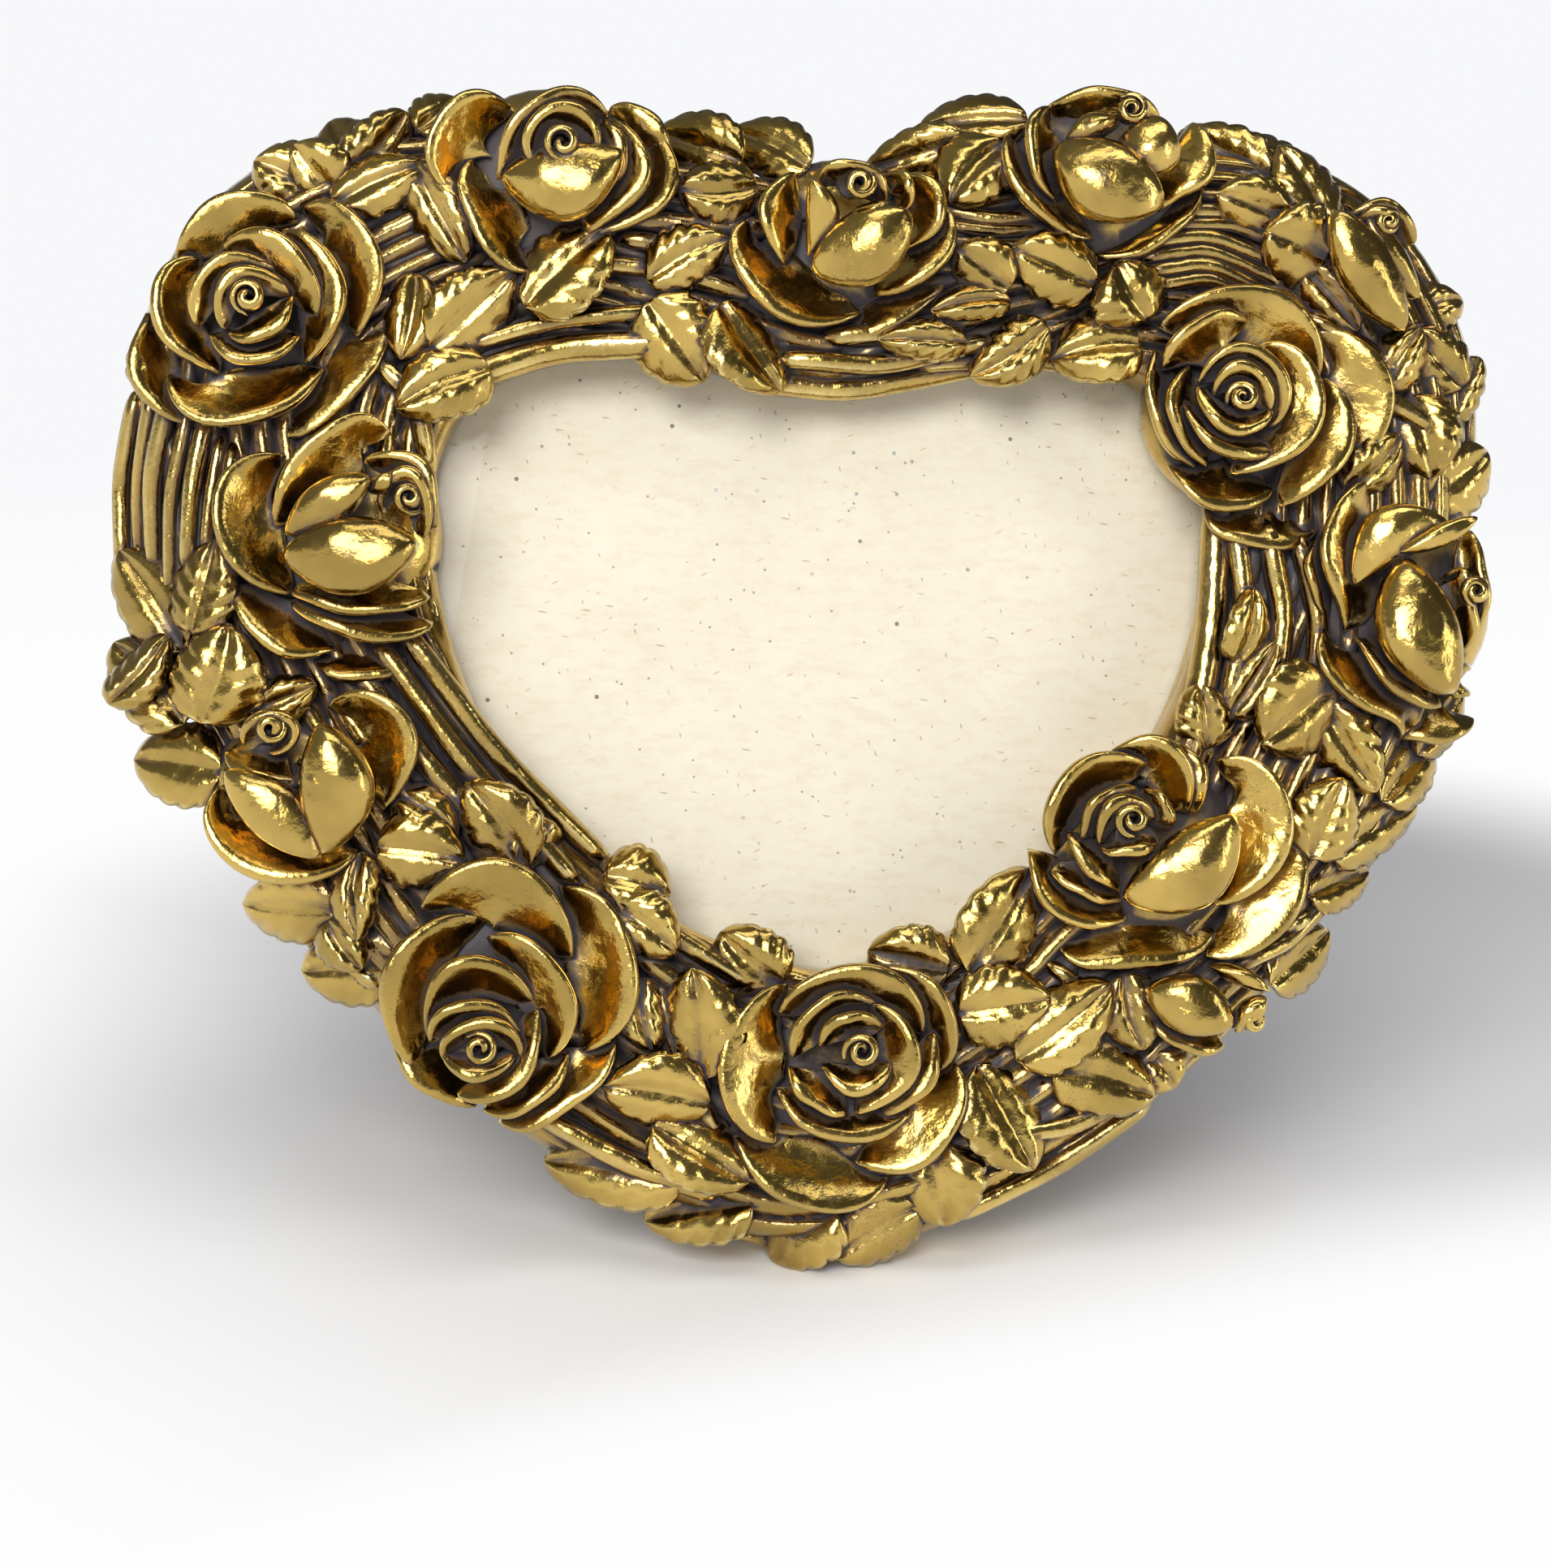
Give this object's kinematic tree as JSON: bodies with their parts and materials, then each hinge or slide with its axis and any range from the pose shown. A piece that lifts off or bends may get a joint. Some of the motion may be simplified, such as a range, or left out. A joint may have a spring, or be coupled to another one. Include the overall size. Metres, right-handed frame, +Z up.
{
  "type": "heart shaped photo frame",
  "caption": "Heart shaped table photo frame with a cast border of roses and leaves, a glazed heart opening, a board back and a folding easel strut.",
  "frame": {"origin": "middle of the overall box's footprint, on the surface that the frame stands on", "axes": "+Z up, +X to the right of the picture, -Y out of the face, which leans back 15 degrees"},
  "size_m": [0.295, 0.1034, 0.2456],
  "materials": {
    "gold_resin": "antique gold lacquer on cast resin, worn bright on the high edges, dark brown patina in the hollows",
    "clear_glass": "clear float glass",
    "greyboard": "raw cream greyboard with fine fibres and specks",
    "black_flock": "matt black flock paper",
    "strut_board": "raw brown board at the cut edges",
    "hinge_steel": "plated sheet steel",
    "staple_wire": "galvanised wire",
    "screw_steel": "brass plated steel",
    "button_brass": "stamped brass, slightly dulled",
    "black_ribbon": "woven black ribbon"
  },
  "bodies": {
    "frame": {"frame_casting": "gold_resin", "glass_pane": "clear_glass", "backing_board": "greyboard", "backing_cover": "black_flock", "hinge_board_leaf": "hinge_steel", "hinge_staples": "staple_wire", "hinge_pin": "hinge_steel", "stay_ribbon": "black_ribbon", "ribbon_board_staple": "staple_wire", "turn_button_screws": "screw_steel"},
    "strut": {"hinge_strut_leaf": "hinge_steel", "easel_strut": "strut_board", "strut_cover": "black_flock", "strut_rivets": "staple_wire", "ribbon_strut_staple": "staple_wire"},
    "button_1": {"turn_button_1": "button_brass"},
    "button_2": {"turn_button_2": "button_brass"},
    "button_3": {"turn_button_3": "button_brass"},
    "button_4": {"turn_button_4": "button_brass"},
    "button_5": {"turn_button_5": "button_brass"},
    "button_6": {"turn_button_6": "button_brass"}
  },
  "joints": [
    {"name": "strut_hinge", "type": "hinge", "parent": "frame", "child": "strut", "pos_m": [-0.00204, 0.01434, 0.14954], "axis": [1, 0, 0], "range_deg": [-28, 0], "deforming": ["stay_ribbon"]},
    {"name": "button_1_turn", "type": "hinge", "parent": "frame", "child": "button_1", "pos_m": [0.07381, 0.02423, 0.1934], "axis": [0, -0.9659, 0.2588], "continuous": true},
    {"name": "button_2_turn", "type": "hinge", "parent": "frame", "child": "button_2", "pos_m": [-0.0709, 0.02423, 0.1934], "axis": [0, -0.9659, 0.2588], "continuous": true},
    {"name": "button_3_turn", "type": "hinge", "parent": "frame", "child": "button_3", "pos_m": [0.09993, 0.01081, 0.1433], "axis": [0, -0.9659, 0.2588], "continuous": true},
    {"name": "button_4_turn", "type": "hinge", "parent": "frame", "child": "button_4", "pos_m": [-0.09701, 0.01081, 0.1433], "axis": [0, -0.9659, 0.2588], "continuous": true},
    {"name": "button_5_turn", "type": "hinge", "parent": "frame", "child": "button_5", "pos_m": [0.06548, -0.00832, 0.07193], "axis": [0, -0.9659, 0.2588], "continuous": true},
    {"name": "button_6_turn", "type": "hinge", "parent": "frame", "child": "button_6", "pos_m": [-0.06256, -0.00832, 0.07193], "axis": [0, -0.9659, 0.2588], "continuous": true}
  ]
}
